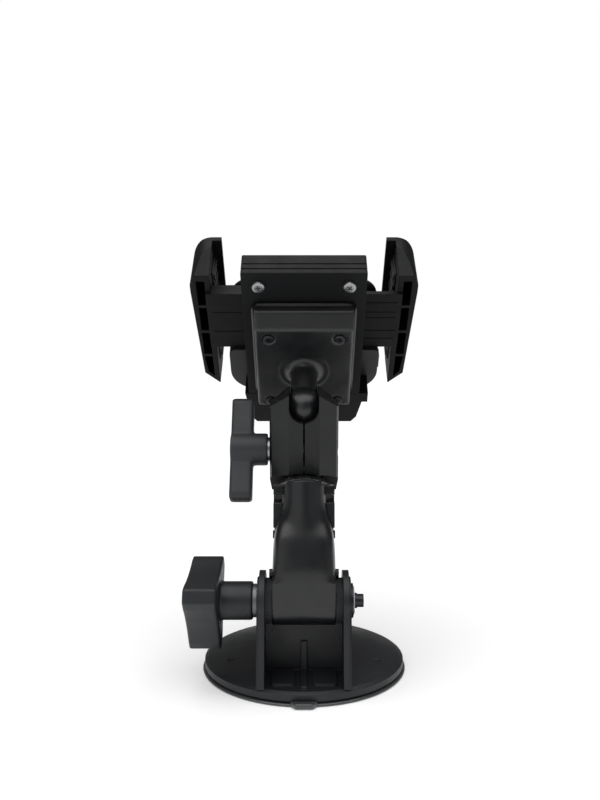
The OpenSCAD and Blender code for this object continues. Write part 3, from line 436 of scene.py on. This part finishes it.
for rise, back, narrow, thin in SLOPES:
    top += Vector((0, back, rise)) * MM
    bpy.ops.mesh.extrude_region_move(TRANSFORM_OT_translate={"value": (0, back * MM, rise * MM)})
    bpy.ops.transform.resize(value=(narrow, thin, 1), center_override=top)
out_of_edit()
bpy.ops.mesh.primitive_cone_add(radius1=SWELL_R, radius2=NECK_R, depth=SWELL_LOW - SWELL_TOP,
                                vertices=ROUND, location=(0, 0, -(SWELL_LOW + SWELL_TOP) / 2))
swell = bpy.context.object
swell.scale.y = SWELL_FLAT
settle(swell, NECK)
bpy.ops.mesh.primitive_cylinder_add(radius=NECK_R, depth=NECK_LENGTH, vertices=ROUND,
                                    location=(0, 0, -NECK_DROP))
neck = settle(bpy.context.object, NECK)
print("four masses stand", round((neck_top.z - arm_low.z) / MM, 1), "mm high")

# %% Melt the masses into one skin
SKIN = 0.5 * MM
clear()
for lump in (knuckle, block, swell, neck):
    lump.select_set(True)
bpy.context.view_layer.objects.active = knuckle
bpy.ops.object.join()
arm_skin = bpy.context.object
use_modifier(arm_skin, "REMESH", mode="VOXEL", voxel_size=SKIN)
use_modifier(arm_skin, "SMOOTH", factor=0.5, iterations=4)


def smooth_above(piece, height, times):
    """Smooths the part of a skin that stands above a height."""
    only(piece)
    for vertex in piece.data.vertices:
        vertex.select = vertex.co.z > height
    bpy.ops.object.mode_set(mode="EDIT")
    bpy.ops.mesh.select_mode(type="VERT")
    bpy.ops.mesh.vertices_smooth(factor=0.5, repeat=times)
    out_of_edit()


# How far above the pivot each round of smoothing starts, in mm, and how often it is repeated
SMOOTHING = ((10, 28), (14, 28), (18, 28), (22, 28), (19, 90))
for start, times in SMOOTHING:
    smooth_above(arm_skin, pivot.z + start * MM, times)
print("the skin has", len(arm_skin.data.polygons), "faces")


def carve(piece, cutter):
    """Cuts one piece out of another and throws the cutter away."""
    use_modifier(piece, "BOOLEAN", object=cutter, operation="DIFFERENCE", solver="EXACT")
    bpy.data.objects.remove(cutter)


def box_cutter(low, high, matrix):
    """A box between two corners of a leaning frame."""
    bpy.ops.mesh.primitive_cube_add(size=1, location=(low + high) / 2)
    cutter = bpy.context.object
    cutter.scale = high - low
    return settle(cutter, matrix)


# The top is cut by the head's own arch, with a box that is larger than the arm all round, in mm
BEYOND = (30, 40, 60)
arch_middle = neck_top - Vector((0, 0, ARCH_R))
above_arch = box_cutter(arch_middle - Vector((*BEYOND[:2], 0)) * MM, arch_middle + Vector(BEYOND) * MM,
                        Matrix())
bpy.ops.mesh.primitive_cylinder_add(radius=ARCH_R, depth=120 * MM, vertices=128, location=arch_middle,
                                    rotation=(math.pi / 2, 0, 0))
carve(above_arch, settle(bpy.context.object))
carve(arm_skin, above_arch)
BOLT_HOLE_R = 3.05 * MM
bpy.ops.mesh.primitive_cylinder_add(radius=BOLT_HOLE_R, depth=3 * arm_half, vertices=48, location=pivot,
                                    rotation=(0, math.pi / 2, 0))
carve(arm_skin, settle(bpy.context.object))
settle(arm_skin)
dress(arm_skin, "arm_moulding", "arm", satin)
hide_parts("gooseneck_arm")

# %% [markdown]
# The arched head behind the clamp, the thin wing down each side of the neck, the post and the ball are
# crisp shapes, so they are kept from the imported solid. A copy of it is merged, and what the new skin
# replaces is cut away from the copy with four boxes.

# %% Head, wings and ball of the arm
# Each box by its lowest and its highest corner in mm: in front of the wings, inside the head, behind the
# wings, and all that stands below them
IN_NECK_FRAME = (
    ((-20, -45, -90), (20, -0.9, -3.65)),
    ((-11, -45, -3.7), (11, -6.05, 30)),
    ((-20, 3.02, -60), (20, 30, -13)),
)
BELOW_WINGS = ((-20, -70, -10), (20, 30, 60))
arm_head = merged_copy("gooseneck_arm", "arm_head")
for box_low, box_high in IN_NECK_FRAME:
    carve(arm_head, box_cutter(Vector(box_low) * MM, Vector(box_high) * MM, NECK))
carve(arm_head, box_cutter(Vector(BELOW_WINGS[0]) * MM, Vector(BELOW_WINGS[1]) * MM, Matrix()))
settle(arm_head)
dress(arm_head, "arm_head", "arm", satin)
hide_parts("gooseneck_arm")

# %% [markdown]
# No daylight shows through the clamp's split, so a thin bar closes it along its far side and keeps the
# split dark. Its long edges are sunk a little into both halves.

# %% Bar closing the clamp's split
along_clamp = (upper_ball - lower_ball).normalized()
CLAMP = Matrix((across, along_clamp, across.cross(along_clamp))).transposed().to_4x4()
CLAMP.translation = lower_ball
left_low, left_high = own_box("clamp_half_left", CLAMP.inverted())
right_low = own_box("clamp_half_right", CLAMP.inverted())[0]
SUNK_LEFT = 0.4 * MM
SUNK_RIGHT = 0.3 * MM
CLOSING_BAR_LOW = 3 * MM
CLOSING_BAR_HIGH = 21 * MM
CLOSING_BAR_FAR = 0.6 * MM
CLOSING_BAR_NEAR = 1.8 * MM
closing_bar = box_cutter(Vector((left_high.x - SUNK_LEFT, CLOSING_BAR_LOW, left_low.z + CLOSING_BAR_FAR)),
                   Vector((right_low.x + SUNK_RIGHT, CLOSING_BAR_HIGH, left_low.z + CLOSING_BAR_NEAR)), CLAMP)
dress(closing_bar, "clamp_split_closing_bar", "clamp", shell)
print("the split is", round((right_low.x - left_high.x) / MM, 2), "mm wide, its far side at",
      round(left_low.z / MM, 1), "mm")

# %% [markdown]
# Hands turn the two knobs, so their corners are well rounded, and the ball plate's housing has a
# soft top edge that shines as one broad band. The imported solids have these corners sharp. A merged copy
# of each is turned into a fine even skin and smoothed a little, which wears every edge down alike and
# leaves the flat faces where they are.

# %% Rounded knobs and housing
def worn_copy(node, name, body, finish, voxel, rounds):
    """A copy of a hard part with all its edges rounded, in the part's place."""
    piece = merged_copy(node, name)
    use_modifier(piece, "REMESH", mode="VOXEL", voxel_size=voxel)
    use_modifier(piece, "SMOOTH", factor=0.5, iterations=rounds)
    settle(piece)
    dress(piece, name, body, finish)
    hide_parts(node)


worn_copy("t_knob", "bar_knob", "clamp_knob", grip_plastic, voxel=0.35 * MM, rounds=22)
worn_copy("base_knob", "three_sided_knob", "base_knob", shell, voxel=0.36 * MM, rounds=24)
worn_copy("ball_plate", "ball_plate_moulding", "holder", plate_satin, voxel=0.45 * MM, rounds=10)

# %% [markdown]
# The cushion that the phone's back lies on is a low rubber slab with rounded bars across it. The slab
# is a box with its corners rounded in plan and its face drawn in, and one rounded bar is copied up it.

# %% Cradle cushion
CUSHION_BARS = 7
CORNER_R = 9 * MM
BAR_SHORT = 14 * MM
BAR_W = 2.6 * MM
BAR_T = 0.8 * MM
BAR_SEAT = 0.42 * MM
low, high = own_box("cradle_cushion", TO_HOLDER)
size = high - low
bpy.ops.mesh.primitive_cube_add(size=1, location=(low + high) / 2)
cushion = bpy.context.object
cushion.scale = size
bpy.ops.object.transform_apply(location=True, rotation=False, scale=True)
only(cushion)
bpy.ops.object.mode_set(mode="EDIT")
bpy.ops.mesh.select_all(action="DESELECT")
bpy.ops.mesh.select_mode(type="EDGE")
out_of_edit()
for edge in cushion.data.edges:
    a, b = [cushion.data.vertices[i].co for i in edge.vertices]
    edge.select = abs(a.z - b.z) > size.z / 2
bpy.ops.object.mode_set(mode="EDIT")
bpy.ops.mesh.bevel(offset=CORNER_R, segments=10)
out_of_edit()
pick_faces(cushion, lambda centre, normal: normal.z < -0.9)
bpy.ops.mesh.inset(thickness=1.2 * MM, depth=-0.5 * MM)
out_of_edit()
round_edges(cushion, 0.35 * MM, 2)
settle(cushion, HOLDER)
dress(cushion, "cradle_cushion_rubber", "holder", rubber)
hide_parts("cradle_cushion")
bar_step = size.y / (CUSHION_BARS + 1)
bpy.ops.mesh.primitive_cube_add(size=1, location=(0, low.y + bar_step, low.z + BAR_SEAT))
bar = bpy.context.object
bar.scale = (size.x - BAR_SHORT, BAR_W, BAR_T)
bpy.ops.object.transform_apply(location=True, rotation=False, scale=True)
round_edges(bar, 0.38 * MM, 3)
for number, one in enumerate(row_of(bar, CUSHION_BARS, Vector((0, bar_step, 0)), HOLDER)):
    dress(one, "cushion_bar_%d" % (number + 1), "holder", rubber)

# %% [markdown]
# The grips inside the jaws and the pad on the foot are ribbed rubber strips. Each strip is a thin
# backing with one rounded rib, copied along it.

# %% Ribbed grips
GRIP_RIBS = 9
PAD_RIBS = 5
RIB_SHORT = 1.2 * MM


def ribbed_strip(node, body, along, thin, side, ribs):
    """A rubber strip in the place of a node, in the holder's frame. The ribs follow each other along one
    axis and stand up to one side of the thin axis."""
    low, high = own_box(node, TO_HOLDER)
    size = high - low
    middle = (low + high) / 2
    back = Vector(size)
    back[thin] *= 0.5
    place = Vector(middle)
    place[thin] -= side * size[thin] * 0.25
    bpy.ops.mesh.primitive_cube_add(size=1, location=place)
    strip = bpy.context.object
    strip.scale = back
    bpy.ops.object.transform_apply(location=True, rotation=False, scale=True)
    round_edges(strip, 0.25 * MM, 2)
    settle(strip, HOLDER)
    dress(strip, node + "_rubber", body, rubber)
    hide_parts(node)
    step = Vector((0, 0, 0))
    step[along] = size[along] / ribs
    where = Vector(middle)
    where[along] = low[along] + step[along] / 2
    where[thin] += side * size[thin] * 0.1
    shape = Vector(size)
    shape[along] = step[along] / 2
    shape[thin] = size[thin] * 0.75
    shape.z = size.z - RIB_SHORT
    bpy.ops.mesh.primitive_cube_add(size=1, location=where)
    rib = bpy.context.object
    rib.scale = shape
    bpy.ops.object.transform_apply(location=True, rotation=False, scale=True)
    round_edges(rib, 0.3 * MM, 3)
    for number, one in enumerate(row_of(rib, ribs, step, HOLDER)):
        dress(one, "%s_rib_%d" % (node, number + 1), body, rubber)


ribbed_strip("left_grip", "left_jaw", along=1, thin=0, side=1, ribs=GRIP_RIBS)
ribbed_strip("right_grip", "right_jaw", along=1, thin=0, side=-1, ribs=GRIP_RIBS)
ribbed_strip("foot_pad", "foot", along=0, thin=1, side=1, ribs=PAD_RIBS)

# %% [markdown]
# A cross-head screw has a domed head and a cross recess with tapered walls. For each size one head is
# modelled, with its recess cut by two crossed bars that taper, and it is copied to each place.

# %% Cross-head screws
def cross_head(radius, height):
    """A domed round head with a cross recess, standing on z = 0 and facing +Z."""
    bpy.ops.mesh.primitive_cylinder_add(radius=radius, depth=height, vertices=32, location=(0, 0, height / 2))
    head = bpy.context.object
    pick_faces(head, lambda centre, normal: normal.z > 0.9)
    bpy.ops.transform.resize(value=(0.9, 0.9, 1))
    bpy.ops.mesh.inset(thickness=radius * 0.25)
    bpy.ops.transform.translate(value=(0, 0, height * 0.16))
    out_of_edit()
    round_edges(head, radius * 0.06, 2, 20)
    settle(head)
    for turn in (0, math.pi / 2):
        bpy.ops.mesh.primitive_cube_add(size=1, location=(0, 0, height * 1.1))
        cutter = bpy.context.object
        cutter.scale = (radius * 1.15, radius * 0.24, height * 1.3)
        cutter.rotation_euler = (0, 0, turn)
        bpy.ops.object.transform_apply(location=True, rotation=True, scale=True)
        pick_faces(cutter, lambda centre, normal: normal.z < -0.9)
        bpy.ops.transform.resize(value=(0.55, 0.55, 1))
        out_of_edit()
        use_modifier(head, "BOOLEAN", object=cutter, operation="DIFFERENCE", solver="EXACT")
        bpy.data.objects.remove(cutter)
    return head


RECESS_STEP = 0.7


def screws_at(node, radius, height, places, finish, recess_turn):
    """Puts a cross head over each screw of a node, each recess turned differently, and hides the node."""
    top = own_box(node, TO_HOLDER)[1].z - height * 1.16
    model = cross_head(radius, height)
    for index, (x, y) in enumerate(places):
        only(model)
        bpy.ops.object.duplicate()
        head = bpy.context.object
        turned = Matrix.Rotation(recess_turn + index * RECESS_STEP, 4, "Z")
        settle(head, HOLDER @ Matrix.Translation((x, y, top)) @ turned)
        dress(head, "%s_head_%d" % (node, index + 1), "holder", finish)
        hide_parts(node)
    bpy.data.objects.remove(model)


plate_low, plate_high = own_box("plate_screws", TO_HOLDER)
plate_r = 2.5 * MM
columns = (plate_low.x + plate_r, plate_high.x - plate_r)
rows = (plate_low.y + plate_r, plate_high.y - plate_r)
corners = [(x, y) for x in columns for y in rows]
screws_at("plate_screws", plate_r, 1.0 * MM, corners, black_oxide, recess_turn=0.4)
block_low, block_high = own_box("block_screws", TO_HOLDER)
block_r = 2.9 * MM
middle_y = (block_low.y + block_high.y) / 2
pair = [(block_low.x + block_r, middle_y), (block_high.x - block_r, middle_y)]
screws_at("block_screws", block_r, 1.5 * MM, pair, zinc, recess_turn=0.2)

# %% [markdown]
# A compression spring is a round wire on a helix. A curve with a round bevel is the quickest way to a
# clean wire, and it is made a mesh so that it can be finished like any other piece.

# %% Springs
STEPS_A_TURN = 16
SPRING_TURNS = 7
FILLED = 0.95


def coil_spring(name, middle, radius, wire, body, replaced):
    """A coil along X in the room of a packed spring, which it replaces."""
    low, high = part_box(replaced)
    half = Vector(((high.x - low.x) / 2, 0, 0)) * FILLED
    start, end = middle - half, middle + half
    axis = (end - start).normalized()
    side = axis.orthogonal().normalized()
    other = axis.cross(side)
    steps = SPRING_TURNS * STEPS_A_TURN
    curve = bpy.data.curves.new(name, "CURVE")
    curve.dimensions = "3D"
    curve.bevel_depth = wire / 2
    curve.bevel_resolution = 2
    curve.use_fill_caps = True
    line = curve.splines.new("POLY")
    line.points.add(steps)
    for number in range(steps + 1):
        angle = 2 * math.pi * number / STEPS_A_TURN
        centre = start.lerp(end, number / steps)
        place = centre + (side * math.cos(angle) + other * math.sin(angle)) * (radius - wire / 2)
        line.points[number].co = (*place, 1)
    spring = bpy.data.objects.new(name, curve)
    bpy.context.collection.objects.link(spring)
    only(spring)
    bpy.ops.object.convert(target="MESH")
    spring = bpy.context.object
    settle(spring)
    dress(spring, name, body, zinc)
    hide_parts(replaced)


coil_spring("clamp_coil", clamp_middle, 2.8 * MM, 0.7 * MM, "clamp", "clamp_spring")
low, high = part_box("button_spring")
coil_spring("button_coil", (low + high) / 2, 2.2 * MM, 0.5 * MM, "holder", "button_spring")

# %% [markdown]
# The holder stands on a pale, seamless floor, as on a product table. What the camera sees behind it is
# plain white, but a room that glows white all round would wash black plastic out. So the sky that lights
# the holder is far dimmer than the one that the camera sees, and wide suns do the rest. They light the
# floor evenly however far it runs, and a faint glow of its own lifts it to the white of the sky.

# %% Floor and light
FLOOR_SIZE = 12.0
FLOOR_GLOW = 0.16
bpy.ops.mesh.primitive_plane_add(size=FLOOR_SIZE, location=(0, 0, 0))
floor = bpy.context.object
floor.name = "studio_floor"
paper, nodes, links, shader = new_material("studio_paper")
tone = noise(nodes, links, 3.0)
ramp = add(nodes, "ShaderNodeValToRGB")
ramp.color_ramp.elements[0].color = (0.95, 0.95, 0.95, 1)
ramp.color_ramp.elements[1].color = (0.97, 0.97, 0.97, 1)
links.new(tone.outputs["Fac"], ramp.inputs["Fac"])
links.new(ramp.outputs["Color"], shader.inputs["Base Color"])
shader.inputs["Roughness"].default_value = 0.9
shader.inputs["Emission Color"].default_value = (1.0, 1.0, 1.0, 1)
shader.inputs["Emission Strength"].default_value = FLOOR_GLOW
floor.data.materials.append(paper)

SKY_GLOW = 0.14
world = bpy.data.worlds.new("studio_white")
world.use_nodes = True
sky = world.node_tree
seen = sky.nodes["Background"]
seen.inputs["Color"].default_value = (1.0, 1.0, 1.0, 1)
seen.inputs["Strength"].default_value = 1.0
glow = sky.nodes.new("ShaderNodeBackground")
glow.inputs["Color"].default_value = (1.0, 1.0, 1.0, 1)
glow.inputs["Strength"].default_value = SKY_GLOW
choice = sky.nodes.new("ShaderNodeMixShader")
path = sky.nodes.new("ShaderNodeLightPath")
sky.links.new(path.outputs["Is Camera Ray"], choice.inputs["Fac"])
sky.links.new(glow.outputs["Background"], choice.inputs[1])
sky.links.new(seen.outputs["Background"], choice.inputs[2])
sky.links.new(choice.outputs["Shader"], sky.nodes["World Output"].inputs["Surface"])
bpy.context.scene.world = world


def wide_sun(name, direction, strength, spread_degrees):
    """A sun as wide as a large soft box, shining along the direction."""
    light = bpy.data.lights.new(name, "SUN")
    light.energy = strength
    light.angle = math.radians(spread_degrees)
    lamp = bpy.data.objects.new(name, light)
    bpy.context.collection.objects.link(lamp)
    lamp.rotation_euler = Vector(direction).to_track_quat("-Z", "Y").to_euler()


wide_sun("overhead", (0.05, 0.15, -1.0), 2.6, 80)
wide_sun("front_left", (0.65, 0.9, -0.45), 0.45, 60)
wide_sun("front_right", (-0.8, 0.6, -0.35), 0.15, 60)

# %% [markdown]
# The photographer stood close behind the holder and a little above the pivot, looking almost level.
# The place and the lens were fitted together, to the base disc's ellipse and the ball plate's screws.

# %% Camera
FRAME_W, FRAME_H = 600, 800
FOCAL_PX = 800.0
CENTRE_PX = 304.0
CAMERA_PLACE = (0.0, -0.340, 0.134)
LOOK_DOWN = math.radians(3.25)
camera_data = bpy.data.cameras.new("camera")
camera_data.sensor_fit = "VERTICAL"
camera_data.sensor_height = 36.0
camera_data.lens = camera_data.sensor_height * FOCAL_PX / FRAME_H
camera_data.shift_x = (FRAME_W / 2 - CENTRE_PX) / FRAME_H
camera_data.clip_start = 0.01
camera = bpy.data.objects.new("camera", camera_data)
bpy.context.collection.objects.link(camera)
camera.location = CAMERA_PLACE
camera.rotation_euler = (math.pi / 2 - LOOK_DOWN, 0, 0)
bpy.context.scene.camera = camera
bpy.context.scene.view_settings.view_transform = "Standard"
print("camera lens", round(camera_data.lens, 1), "mm")
